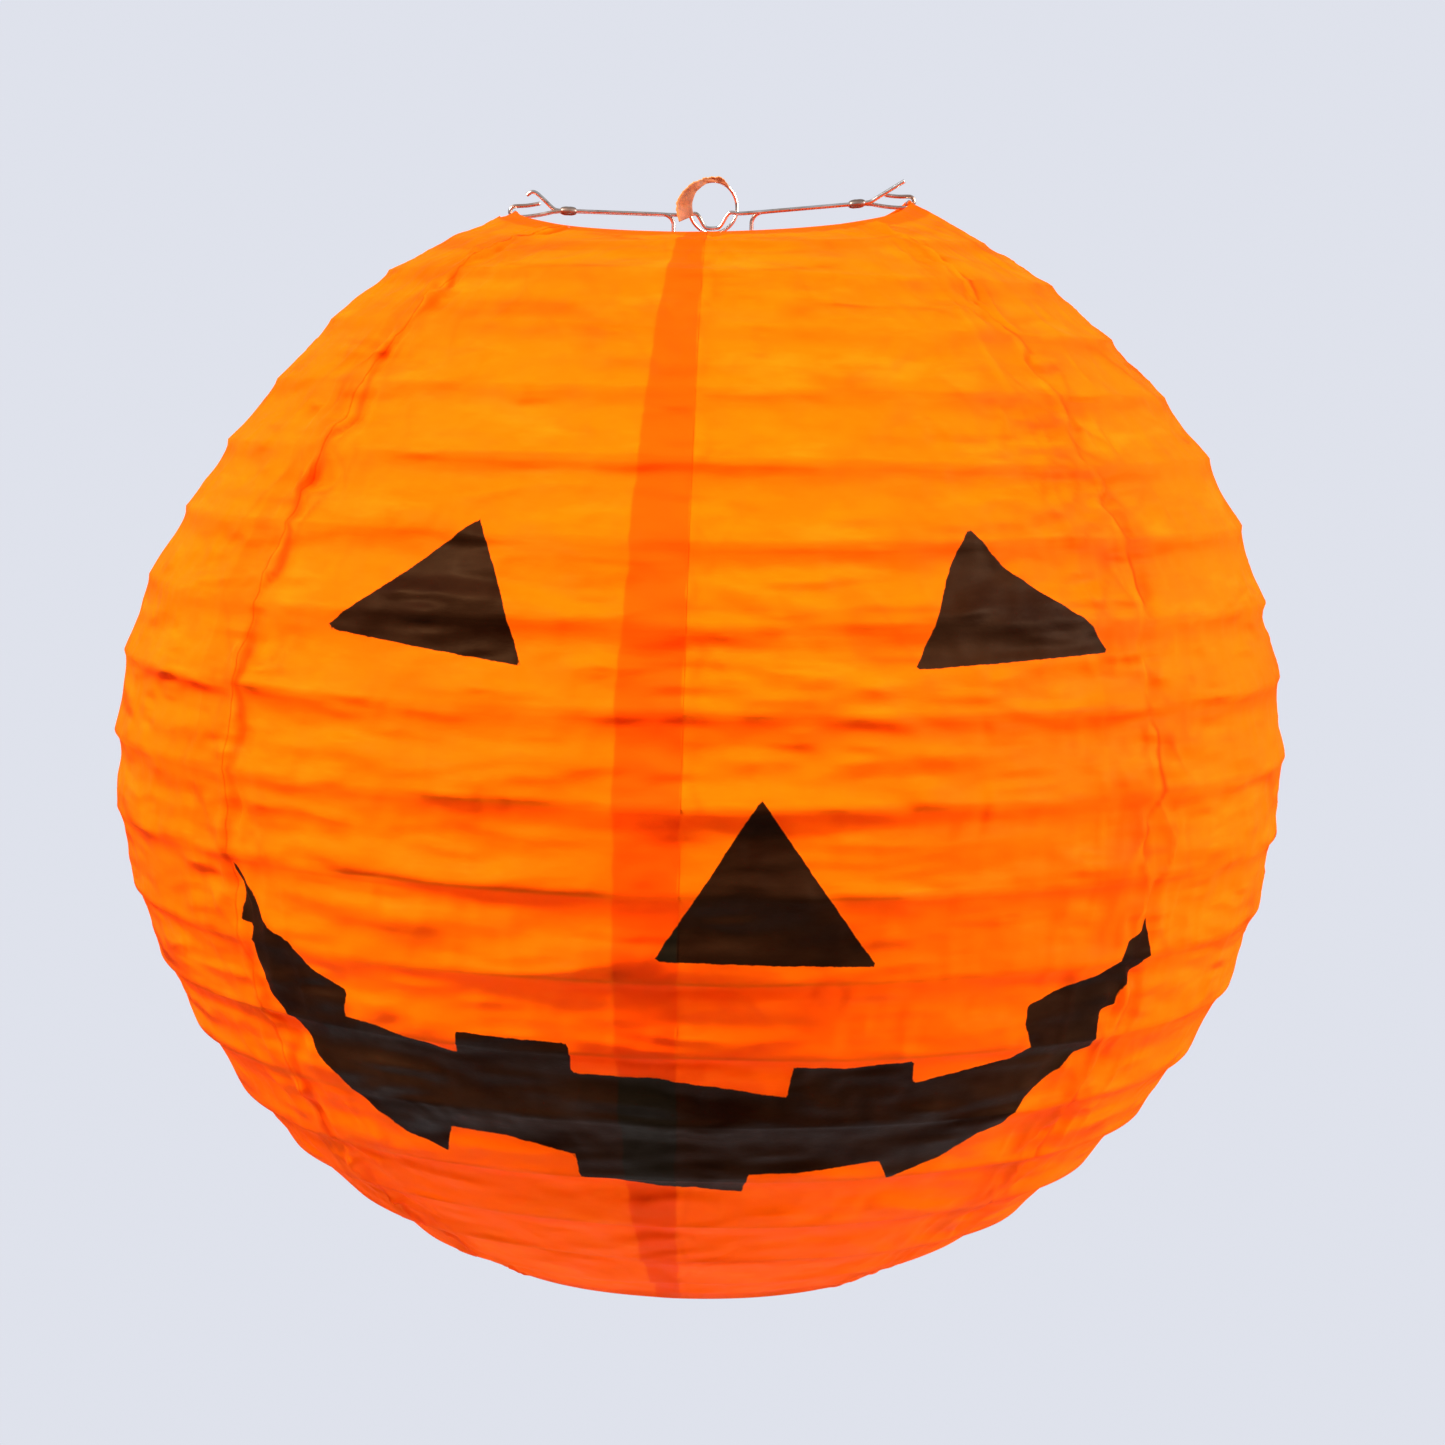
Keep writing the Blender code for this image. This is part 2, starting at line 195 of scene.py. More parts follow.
def around(radius, azimuth, z):
    """Points at azimuths measured from the front towards +X."""
    radius, azimuth, z = np.broadcast_arrays(radius, azimuth, z)
    return np.stack([radius * np.sin(azimuth), -radius * np.cos(azimuth), z], axis=-1)


def angle_between(azimuth, other):
    """Signed angle from one azimuth to another, from -180 to 180 degrees."""
    return (azimuth - other + math.pi) % (2 * math.pi) - math.pi


def droop(row, radius, azimuth):
    """How far a ring hangs below level, between the two hooks and from the lean."""
    share = {0: 1.0, 1: FIRST_RIB_SHARE}.get(row, 0.0)
    turn = azimuth - HOOK_AZIMUTH
    return share * (TOP_RING_DROOP * np.abs(np.sin(turn)) - math.tan(TOP_LEAN) * radius * np.cos(turn))


# Reading the CAD frame.

def node_points(name):
    """A CAD node's vertices in the frame."""
    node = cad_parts[name]
    points = np.empty(len(node.data.vertices) * 3)
    node.data.vertices.foreach_get("co", points)
    turn = np.array(node.matrix_world)
    return points.reshape(-1, 3) @ turn[:3, :3].T + turn[:3, 3]


def ring_names():
    """CAD rings from the top one to the bottom one."""
    return ["top_ring"] + [f"rib_ring_{rib:02d}" for rib in range(1, RIB_COUNT + 1)] + ["bottom_ring"]


def wire_radius(row):
    """Half the thickness of a ring's wire."""
    return END_WIRE_R if row in (0, RIB_COUNT + 1) else RIB_WIRE_R


def ring_station(row, name):
    """Radius of a CAD ring and its level without droop."""
    points = node_points(name)
    radius = np.hypot(points[:, 0], points[:, 1]).max() - wire_radius(row)
    azimuth = np.arctan2(points[:, 0], -points[:, 1])
    level = (points[:, 2] + droop(row, radius, azimuth)).mean()
    return radius, level


STATIONS = np.array([ring_station(row, name) for row, name in enumerate(ring_names())])
LAST_ROW = RIB_COUNT + 1
TOP_LEVEL = STATIONS[0, 1]
BOTTOM_LEVEL = STATIONS[-1, 1]
WIDEST_ROW = int(np.argmax(STATIONS[:, 0]))
FACE_LEVEL = STATIONS[WIDEST_ROW, 1] - FACE_LEVEL_BELOW_RIB
DIP_Z = -2 * HANG_HOLE_R + GAP + WIRE_R


# The wire rings, as they are bent.

def ring_wobble(row, azimuth):
    """How far a ring strays from a true circle: outward and upward."""
    turn = azimuth / (2 * math.pi)
    freedom = 0.25 if row in (0, LAST_ROW) else 1.0
    stray = turned_noise(turn, 0.0, 9, 1, 100 + row) + 0.5 * turned_noise(turn, 0.0, 23, 1, 200 + row)
    rise = turned_noise(turn, 0.0, 8, 1, 300 + row) + 0.4 * turned_noise(turn, 0.0, 24, 1, 400 + row)
    kink = turned_noise(turn, 0.0, PANEL_COUNT * 3, 1, 500 + row)
    at_seam = np.exp(-np.abs(angle_between(azimuth * PANEL_COUNT, SEAM_AZIMUTH * PANEL_COUNT)) / 0.5)
    lopsided = SHOULDER_SHIFT * math.sin(math.pi * min(row / 8, 1.0)) * np.sin(azimuth)
    outward = freedom * 0.30 * MM * stray + lopsided
    return outward, freedom * MM * (0.65 * rise + 0.5 * kink * at_seam)


def ring_line(row, azimuth):
    """A ring's centre line as (radius, z) at azimuths."""
    radius, level = STATIONS[row]
    outward, upward = ring_wobble(row, azimuth)
    return radius + outward, level - droop(row, radius, azimuth) + upward


def outline_normals():
    """Outward directions of the outline at each ring, as (radial, vertical)."""
    along = np.gradient(STATIONS, axis=0)
    normals = np.stack([-along[:, 1], along[:, 0]], axis=1)
    return normals / np.linalg.norm(normals, axis=1)[:, None]


NORMALS = outline_normals()


# Meshes from grids of points.

def grid_object(name, points, wrap_rows=False, wrap_columns=False, keep=None, values=None):
    """A mesh over a grid of points, with per-point values as attributes and only the faces to keep."""
    rows, columns = points.shape[:2]
    index = np.arange(rows * columns).reshape(rows, columns)
    if wrap_rows:
        index = np.concatenate([index, index[:1]], axis=0)
    if wrap_columns:
        index = np.concatenate([index, index[:, :1]], axis=1)
    corners = [index[:-1, :-1], index[1:, :-1], index[1:, 1:], index[:-1, 1:]]
    quads = np.stack(corners, axis=-1).reshape(-1, 4)
    if keep is not None:
        quads = quads[keep.reshape(-1)]
    used, quads = np.unique(quads, return_inverse=True)
    quads = quads.reshape(-1, 4)
    mesh = bpy.data.meshes.new(name)
    mesh.from_pydata(points.reshape(-1, 3)[used].tolist(), [], quads.tolist())
    for key, data in (values or {}).items():
        attribute = mesh.attributes.new(key, "FLOAT", "POINT")
        attribute.data.foreach_set("value", data.reshape(-1)[used].astype(np.float32))
    mesh.shade_smooth()
    made = bpy.data.objects.new(name, mesh)
    bpy.context.scene.collection.objects.link(made)
    return made


def close_ends(made, sides):
    """Caps both open ends of a tube with one face each."""
    mesh = bmesh.new()
    mesh.from_mesh(made.data)
    mesh.verts.ensure_lookup_table()
    count = len(mesh.verts)
    mesh.faces.new([mesh.verts[i] for i in range(sides)])
    mesh.faces.new([mesh.verts[count - 1 - i] for i in range(sides)])
    bmesh.ops.recalc_face_normals(mesh, faces=mesh.faces)
    mesh.to_mesh(made.data)
    mesh.free()


def tube(name, path, radius, reference, closed=False, sides=10):
    """A round wire along a path. reference is a direction that the path never runs along."""
    ahead = np.roll(path, -1, axis=0) - np.roll(path, 1, axis=0)
    if not closed:
        ahead[0] = path[1] - path[0]
        ahead[-1] = path[-1] - path[-2]
    ahead /= np.linalg.norm(ahead, axis=1)[:, None]
    reference = np.asarray(reference, float)
    first = reference - ahead * (ahead @ reference)[:, None]
    first /= np.linalg.norm(first, axis=1)[:, None]
    second = np.cross(ahead, first)
    angle = np.arange(sides) * 2 * math.pi / sides
    circle = first[:, None] * np.cos(angle)[None, :, None] + second[:, None] * np.sin(angle)[None, :, None]
    points = path[:, None] + circle * radius
    made = grid_object(name, points, wrap_rows=closed, wrap_columns=True)
    if not closed:
        close_ends(made, sides)
    return made


def rounded(points, rounds=3):
    """Cuts the corners of an open path again and again, as a bend in wire is round."""
    path = np.asarray(points, float)
    for _ in range(rounds):
        near = path[:-1] * 0.75 + path[1:] * 0.25
        far = path[:-1] * 0.25 + path[1:] * 0.75
        middle = np.stack([near, far], axis=1).reshape(-1, 3)
        path = np.concatenate([path[:1], middle, path[-1:]])
    return path


# The printed face.

def outline_distance(points, outline):
    """Signed distance in millimetres from points to a closed outline, positive inside."""
    nearest = np.full(len(points), 1e9)
    inside = np.zeros(len(points), bool)
    outline = np.asarray(outline, float)
    for start, end in zip(outline, np.roll(outline, -1, axis=0)):
        edge = end - start
        share = np.clip((points - start) @ edge / (edge @ edge), 0, 1)
        nearest = np.minimum(nearest, np.linalg.norm(points - start - share[:, None] * edge, axis=1))
        crosses = (start[1] > points[:, 1]) != (end[1] > points[:, 1])
        rise = edge[1] if abs(edge[1]) > 1e-9 else 1e-9
        inside ^= crosses & (points[:, 0] < start[0] + edge[0] * (points[:, 1] - start[1]) / rise)
    return np.where(inside, nearest, -nearest)


def ink_distance(radius, azimuth, z):
    """Distance into the nearest printed shape, in millimetres, for places on the paper."""
    front = np.cos(azimuth) > 0.05
    elevation = np.stack([radius * np.sin(azimuth), z - FACE_LEVEL], axis=-1)[front] / MM
    deepest = np.full(len(elevation), -50.0)
    for outline in (LEFT_EYE_MM, RIGHT_EYE_MM, NOSE_MM, MOUTH_MM):
        deepest = np.maximum(deepest, outline_distance(elevation, outline))
    ink = np.full(radius.shape, -50.0)
    ink[front] = deepest
    return ink


# The paper.

def meridian():
    """The paper's path from the inner hem over the top ring, down the outside and round the bottom ring.

    Each step is a row position, a side (1 outside, -1 inside) and an angle round the end wire.
    """
    hem = [(HEM * share, -1.0, 0.0) for share in (1.0, 0.75, 0.5, 0.25)]
    wrap = [(0.0, 0.0, math.radians(angle)) for angle in (165, 120, 75, 30)]
    body = [(step / CELL_STEPS, 1.0, 0.0) for step in range(1, CELL_STEPS * LAST_ROW)]
    foot_wrap = [(LAST_ROW, 0.0, -math.radians(angle)) for angle in (30, 75, 120, 165)]
    foot = [(LAST_ROW - HEM * share, -1.0, 0.0) for share in (0.25, 0.5, 0.75, 1.0)]
    return np.array(hem + wrap + body + foot_wrap + foot)


def side_offset(place, side, angle, wire_r):
    """Distance outside (and along) the ring line, for each step of the meridian."""
    reach = wire_r + PAPER_CLEARANCE
    from_end = np.minimum(place, LAST_ROW - place) / HEM
    inner = -reach + (2 * reach - 0.4 * MM) * eased(from_end)
    outward = np.where(side > 0, reach, inner)
    wrapping = side == 0
    outward = np.where(wrapping, reach * np.cos(angle), outward)
    along = np.where(wrapping, reach * np.sin(angle), 0.0)
    return outward, along


def seam_closeness(azimuth, number, width_deg):
    """1 on the outer edge of the lap after a panel and falling off within a few degrees."""
    edge = SEAM_AZIMUTH + number * PANEL_ANGLE + LAP_ANGLE
    return np.exp(-((angle_between(azimuth, edge) / math.radians(width_deg)) ** 2))


def creases(turn, share, field, sharpness=1.0):
    """Crisp crease lines in smooth random places, with flat paper falling away to both sides."""
    return ridged(turned_noise(turn, share, *field), sharpness)


def turns_and_share(azimuth, place):
    """An azimuth as turns, and a row position as a share of the way from top to bottom."""
    return azimuth / (2 * math.pi), place / LAST_ROW


def near_seams(azimuth, width_deg):
    """How crumpled the paper is within some degrees of each seam's line."""
    return sum(
        strength * seam_closeness(azimuth, number, width_deg)
        for number, strength in enumerate(SEAM_CRUMPLE)
    )


def seam_sway(azimuth, place):
    """How far the gathered line along a seam wanders sideways, as an angle."""
    return math.radians(1.3) * turned_noise(*turns_and_share(azimuth, place), *SEAM_WANDER)


def pinched_seam(azimuth, place):
    """The gathered line along each seam: a narrow ridge, a groove beside it and short puckers across."""
    line = azimuth + seam_sway(azimuth, place)
    ridge = near_seams(line, 0.8)
    groove = near_seams(line - math.radians(1.6), 1.0)
    pucker = creases(*turns_and_share(azimuth, place), PUCKERS, 1.5) - 0.6
    return 0.8 * ridge - 0.8 * groove + near_seams(line, 3.4) * pucker


def crumpled_patches(azimuth, place):
    """1 where the paper is crumpled and 0 where it is smooth."""
    return eased(0.5 + 1.3 * turned_noise(*turns_and_share(azimuth, place), *PATCHES))


def leaning_folds(azimuth, place, sharpness):
    """Two fields of folds that cross, one leaning to each side."""
    turn, share = turns_and_share(azimuth, place)
    right = creases(turn + RIGHT_LEAN * share, share, RIGHT_LEANING_FOLDS, sharpness)
    left = creases(turn + LEFT_LEAN * share, share, LEFT_LEANING_FOLDS, sharpness)
    return right, left


def wrinkles(azimuth, place):
    """How far the crumpled paper stands out from its smooth form, in metres, at azimuths and rows."""
    turn, share = turns_and_share(azimuth, place)
    beside = near_seams(azimuth, 8.0)
    patch = crumpled_patches(azimuth, place)
    level = 0.85 * (creases(turn, share, LONG_FOLDS) - 0.6)
    level += 0.40 * (creases(turn + 0.07 * share, share, SHORT_FOLDS, 1.3) - 0.55)
    level += 0.20 * (creases(turn - 0.1 * share, share, FINE_FOLDS, 1.5) - 0.5)
    leaning = sum(leaning_folds(azimuth, place, 1.6)) - 0.95
    steep = creases(turn, share, STEEP_FOLDS, 2.0) - 0.45
    total = (0.25 + 0.80 * patch) * level
    total += (0.10 + 0.30 * patch + beside) * leaning + (0.06 + 0.80 * beside) * steep
    total += 0.22 * turned_noise(turn, share, *SWELLS) + pinched_seam(azimuth, place)
    return total * MM


def fold_shadow_lines(azimuth, place):
    """Where painted fold shadows go: thin lines along the sharpest folds, 1 on a line."""
    patch = crumpled_patches(azimuth, place)
    level = creases(*turns_and_share(azimuth, place), LONG_FOLDS, 9.0)
    leaning = np.maximum(*leaning_folds(azimuth, place, 7.0))
    return np.clip(level * patch + leaning * (0.25 * patch + near_seams(azimuth, 9.0)), 0.0, 1.0)


def cell_sag(azimuth, place):
    """How far the paper sinks between two wires: it tucks in just under a wire and swells to the next."""
    part = place - np.floor(place)
    shape = np.abs(np.sin(math.pi * part**0.62)) ** 1.1
    depth = 1 + 0.45 * turned_noise(*turns_and_share(azimuth, place), *SAG_DEPTHS)
    shoulder = 0.35 + 0.65 * eased(place / 7)
    return CELL_SAG * depth * shoulder * shape


def between_rows(values, low, part):
    """Values given for each row, blended part of the way from one row to the next."""
    share = part.reshape((-1,) + (1,) * (values.ndim - 1))
    return values[low] * (1 - share) + values[low + 1] * share


def smooth_paper(azimuth, place):
    """The line the rings lie on, its outward direction and the wires' radius, along the meridian."""
    low = np.clip(np.floor(place), 0, LAST_ROW - 1).astype(int)
    part = place - low
    lines = np.array([ring_line(row, azimuth) for row in range(LAST_ROW + 1)])
    wires = np.array([wire_radius(row) for row in range(LAST_ROW + 1)])
    normal = between_rows(NORMALS, low, part)
    normal /= np.linalg.norm(normal, axis=-1)[:, None]
    return between_rows(lines, low, part), normal, between_rows(wires, low, part)


def distance_from_wire(place):
    """How far a place on the meridian is from the nearest wire, and how free it is of both."""
    low = np.clip(np.floor(place), 0, LAST_ROW - 1).astype(int)
    part = place - low
    spacing = np.linalg.norm(np.diff(STATIONS, axis=0), axis=1)[low]
    return np.minimum(part, 1 - part) * spacing, np.sin(math.pi * np.clip(part, 0, 1)) ** 0.7


def paper_points(azimuth, path, lift):
    """Points of one panel, with the smooth radius and height that the print follows."""
    place, side, angle = (path[:, i][:, None] for i in range(3))
    line, normal, wire_r = smooth_paper(azimuth, path[:, 0])
    radial, vertical = normal[:, :1], normal[:, 1:]
    outward, along = side_offset(place, side, angle, wire_r[:, None])
    from_wire, free = distance_from_wire(place)
    azimuth, place = np.broadcast_arrays(azimuth, place)
    folds = wrinkles(azimuth, place)
    on_wrap = side == 0
    out = outward + np.where(on_wrap, 0.0, folds * free - cell_sag(azimuth, place))
    out = np.where(side > 0, np.maximum(out, outward - STEEPEST * from_wire), out)
    out = out + lift[None, :] * np.abs(side)
    radius = line[:, 0] + radial * out - vertical * along
    z = line[:, 1] + vertical * out + radial * along
    smooth = (line[:, 0] + radial * outward, line[:, 1] + vertical * outward)
    return around(radius, azimuth, z), azimuth, smooth, folds


def notched(azimuth, place, radius):
    """True for faces that the two hook notches leave, in the paper's top edge."""
    keep = np.ones(azimuth.shape, bool)
    for hook in (HOOK_AZIMUTH, HOOK_AZIMUTH + math.pi):
        sideways = np.abs(angle_between(azimuth, hook)) * radius
        keep &= ~((sideways < NOTCH_HALF_WIDTH) & (place < NOTCH_ROWS))
    return keep


def middles(values):
    """Mean of each grid face's four corners."""
    return (values[:-1, :-1] + values[1:, :-1] + values[1:, 1:] + values[:-1, 1:]) / 4


def lap_distance(columns, radius):
    """Millimetres inside the lap, at either side of a panel: over the next one, or under the last one."""
    over = np.minimum(columns - PANEL_ANGLE, columns[-1] - columns)[None, :] * radius / MM
    under = (LAP_ANGLE - columns)[None, :] * radius / MM
    return np.maximum(over, under)


def paper_values(columns, azimuth, place, smooth, folds):
    """What the paper's material reads at each point: print, laps, hems, wrinkle height for painted crest
    highlights and valley shade, and where painted shade falls under wires, along seams and along folds.
    """
    front = angle_between(azimuth, SEAM_AZIMUTH + LAP_ANGLE / 2)
    below_wire = place - np.floor(place)
    radius, z = smooth
    return {
        "ink_mm": ink_distance(radius, azimuth, z),
        "lap_mm": lap_distance(columns, radius),
        "front_lap": np.exp(-((front / (2 * LAP_ANGLE)) ** 4)),
        "edge_rows": np.minimum(place, LAST_ROW - place),
        # Wrinkle height in millimetres, which sets the painted highlights on crests and the painted shade in
        # valleys.
        "crease": folds / MM,
        # Where painted shadow lines run along the sharpest folds.
        "fold_shadow_line": fold_shadow_lines(azimuth, place),
        # Where painted shade falls in a band just under each wire.
        "wire_shade": np.exp(-((below_wire / 0.13 - 0.9) ** 2)),
        # Where a painted shadow line runs along each seam's lapped edge.
        "seam_shadow_line": near_seams(azimuth + seam_sway(azimuth, place) - math.radians(0.9), 0.5),
    }


def paper_gore(number, material):
    """One glued paper panel with its lap over the next panel and its hems round the end rings."""
    step = PANEL_ANGLE / PANEL_STEPS
    columns = np.arange(PANEL_STEPS + round(LAP_ANGLE / step) + 1) * step
    azimuth = SEAM_AZIMUTH + (number - 1) * PANEL_ANGLE + columns
    path = meridian()
    lift = LAP_LIFT * eased((columns - PANEL_ANGLE) / math.radians(1.0) + 1)
    points, spread, smooth, folds = paper_points(azimuth, path, lift)
    place = np.broadcast_to(path[:, 0][:, None], spread.shape)
    values = paper_values(columns, spread, place, smooth, folds)
    keep = notched(middles(spread), middles(place), STATIONS[0, 0])
    made = grid_object(f"paper_gore_{number}", points, keep=keep, values=values)
    made.data.materials.append(material)
    return made


# The expander, the hanging ring and the scrap.

def in_expander(radius, across, z, side):
    """Point in the expander's own plane, turned half way round for the left side, with its lean."""
    azimuth = HOOK_AZIMUTH + (math.pi if side == "left" else 0.0)
    lean = math.tan(TOP_LEAN) * radius * (z - BOTTOM_LEVEL) / (TOP_LEVEL - BOTTOM_LEVEL)
    height = z - lean if side == "left" else z + lean
    outward = np.array([math.sin(azimuth), -math.cos(azimuth), 0.0])
    sideways = np.array([math.cos(azimuth), math.sin(azimuth), 0.0])
    return outward * radius + sideways * across + np.array([0.0, 0.0, height])


def across_expander():
    """The direction square to the expander's plane."""
    return (math.cos(HOOK_AZIMUTH), math.sin(HOOK_AZIMUTH), 0.0)


def arm_z(radius):
    """Height of the expander's arms, which drop a little towards the middle."""
    share = (radius - ARM_START) / (ARM_END - ARM_START)
    return TOP_LEVEL - ARM_DROP * (1 - min(max(share, 0.0), 1.0))


def bend(centre_r, centre_z, radius, start_deg, end_deg, count):
    """Points on a round bend in the expander's plane, as (radius, z)."""
    angles = np.radians(np.linspace(start_deg, end_deg, count))
    return [(centre_r + radius * math.cos(a), centre_z + radius * math.sin(a)) for a in angles]


def hanger_half(tip):
    """The hanger wire from beside the dip's bottom out to one tip, as (radius, across, z)."""
    dip = [
        (1.0 * MM, -0.15, DIP_Z),
        (2.0 * MM, -0.30, DIP_Z + 0.10 * DIP_DEPTH),
        (3.4 * MM, -0.60, DIP_Z + 0.85 * DIP_DEPTH),
        (4.2 * MM, -0.85, DIP_Z + 1.12 * DIP_DEPTH),
        (5.3 * MM, -1.00, DIP_Z + 1.10 * DIP_DEPTH),
    ]
    arm = [(radius * MM, -1.0, arm_z(radius * MM)) for radius in (6.5, 15, 24, 33, 39.5)]
    return [(radius, share * STRAND_OFFSET, z) for radius, share, z in dip + arm + tip]


def hanger_wire():
    """The wire that spans the top opening, with the dip in its middle that hangs in the hanging ring."""
    rising = [
        (ARM_END + 1.4 * MM, -1.0, TOP_LEVEL + 0.4 * MM),
        (ARM_END + 2.6 * MM, -1.1, TOP_LEVEL + 1.2 * MM),
        (TIP_RADIUS, -1.8, TOP_LEVEL + 5.2 * MM),
    ]
    curled = [
        (ARM_END + 1.4 * MM, -1.0, TOP_LEVEL + 0.5 * MM),
        (ARM_END + 3.6 * MM, -1.1, TOP_LEVEL + 2.8 * MM),
        (ARM_END + 6.4 * MM, -1.5, TOP_LEVEL + 5.4 * MM),
        (ARM_END + 8.2 * MM, -1.7, TOP_LEVEL + 4.2 * MM),
    ]
    left = [in_expander(*point, "left") for point in reversed(hanger_half(curled))]
    right = [in_expander(*point, "right") for point in hanger_half(rising)]
    return tube("wire_hanger", rounded(left + right), WIRE_R, across_expander(), sides=12)


def leg_wire(side):
    """One leg: its foot inside the bottom ring, the upright, the arm and the hook on the top ring."""
    grip = END_WIRE_R + WIRE_R + GAP
    top_r, bottom_r = STATIONS[0, 0], STATIONS[-1, 0]
    foot_r = bottom_r - END_WIRE_R - WIRE_R - GAP
    foot = bend(foot_r - 2.2 * MM, BOTTOM_LEVEL + 2.2 * MM, 2.2 * MM, 0, -90, 6)
    heel = bend(LEG_RADIUS + 4 * MM, BOTTOM_LEVEL + 4 * MM, 4 * MM, 270, 180, 6)
    shoulder = bend(LEG_RADIUS + 3 * MM, arm_z(LEG_RADIUS + 3 * MM) - 3 * MM, 3 * MM, 180, 90, 6)
    arm = [(26 * MM, arm_z(26 * MM)), (ARM_END, TOP_LEVEL)]
    under = [(ARM_END + 4 * MM, TOP_LEVEL - 0.9 * MM), (top_r - 3 * MM, TOP_LEVEL - grip)]
    hook = bend(top_r, TOP_LEVEL, grip, -90, 90, 9)
    over = [(top_r - 3 * MM, TOP_LEVEL + grip), (top_r - 6.2 * MM, TOP_LEVEL + 1.9 * MM)]
    path = [(foot_r, BOTTOM_LEVEL + 4 * MM)] + foot + heel + shoulder + arm + under + hook + over
    points = [in_expander(radius, STRAND_OFFSET, z, side) for radius, z in path]
    return tube(f"wire_{side}_leg", rounded(points, 2), WIRE_R, across_expander(), sides=12)


def sleeve_section():
    """Half width, half height and place along the sleeve, out along its outside and back inside it."""
    steps = np.linspace(-0.5, 0.5, SLEEVE_STEPS)
    bulge = np.cos(math.pi * steps) ** 0.6
    bulge[[0, -1]] = 0.0
    dent = 1 - 0.16 * np.exp(-((steps / 0.12) ** 2))
    high = np.concatenate([0.74 + 0.46 * bulge * dent, np.full(SLEEVE_STEPS, 0.56)])
    wide = np.concatenate([1.40 + 0.35 * bulge, np.full(SLEEVE_STEPS, 1.21)])
    along = np.concatenate([steps, steps[::-1]])
    return wide * MM, high * MM, along * FERRULE_LENGTH


def crimped_sleeve(side):
    """The sleeve squeezed flat round both wires near a hook, pinched at its ends."""
    wide, high, along = sleeve_section()
    angle = np.arange(SLEEVE_SIDES) * 2 * math.pi / SLEEVE_SIDES
    middle = ARM_END - FERRULE_LENGTH / 2 - 0.5 * MM
    points = np.empty((len(along), SLEEVE_SIDES, 3))
    for row, reach in enumerate(middle + along):
        for column, turn in enumerate(angle):
            height = arm_z(reach) + high[row] * math.sin(turn)
            points[row, column] = in_expander(reach, wide[row] * math.cos(turn), height, side)
    return grid_object(f"sleeve_{side}", points, wrap_rows=True, wrap_columns=True)


def turned_with_ring(across, depth, z):
    """Points given in the hanging ring's own plane, with depth behind it."""
    x = across * math.cos(RING_TURN) - depth * math.sin(RING_TURN)
    y = across * math.sin(RING_TURN) + depth * math.cos(RING_TURN)
    return np.stack(np.broadcast_arrays(x, y, z), axis=-1)


def hanging_ring():
    """The small wire ring that the dip hangs in, not quite round and turned a little from the front."""
    angle = np.arange(96) * 2 * math.pi / 96
    radius = HANG_HOLE_R + HANG_WIRE_R + 0.06 * MM * np.sin(2 * angle + 0.6)
    lean = 0.12 * MM * np.sin(3 * angle)
    path = turned_with_ring(radius * np.cos(angle), lean, radius * np.sin(angle) - HANG_HOLE_R)
    square = (-math.sin(RING_TURN), math.cos(RING_TURN), 0)
    return tube("wire_hanging_ring", path, HANG_WIRE_R, square, closed=True, sides=12)


def torn_scrap():
    """The torn crescent of paper stuck on the front of the hanging ring, with ragged edges and a tail."""
    steps, across = 90, 9
    share = np.linspace(0, 1, steps)[:, None]
    width = np.linspace(0, 1, across)[None, :]
    angle = np.radians(SCRAP_START_DEG - SCRAP_ARC_DEG * share)
    shift_x, shift_z = SCRAP_SHIFT
    rough = np.random.default_rng(77).uniform(-1, 1, steps)
    rough = 0.6 * rough + 0.4 * np.roll(rough, 1)
    facing = shift_x * np.cos(angle) + shift_z * np.sin(angle)
    outer = facing + np.sqrt(SCRAP_RADIUS**2 - shift_x**2 - shift_z**2 + facing**2)
    ragged = 0.28 * MM * rough[:, None] * np.sin(math.pi * share) ** 0.4
    outer = outer + ragged + 0.35 * MM * np.sin(9 * share)
    inner = HANG_HOLE_R + 0.05 * MM + 0.12 * MM * np.sin(23 * share) * share
    taper = eased((1 - share) / 0.22) * 0.86 + 0.14
    outer = inner + (outer - inner) * taper
    radius = inner + (outer - inner) * width
    curl = 0.9 * MM * (width - 0.3) ** 2 + 0.25 * MM * np.sin(5 * share * math.pi + 2 * width)
    depth = -HANG_WIRE_R - 0.55 * MM - np.abs(curl)
    points = turned_with_ring(radius * np.cos(angle), depth, radius * np.sin(angle) - HANG_HOLE_R)
    values = {"torn": np.broadcast_to(np.maximum(width, share**3), radius.shape).copy()}
    made = grid_object("torn_scrap", points, values=values)
    shell = made.modifiers.new("paper thickness", "SOLIDIFY")
    shell.thickness = 0.22 * MM
    shell.offset = 0.0
    return made


# Materials.

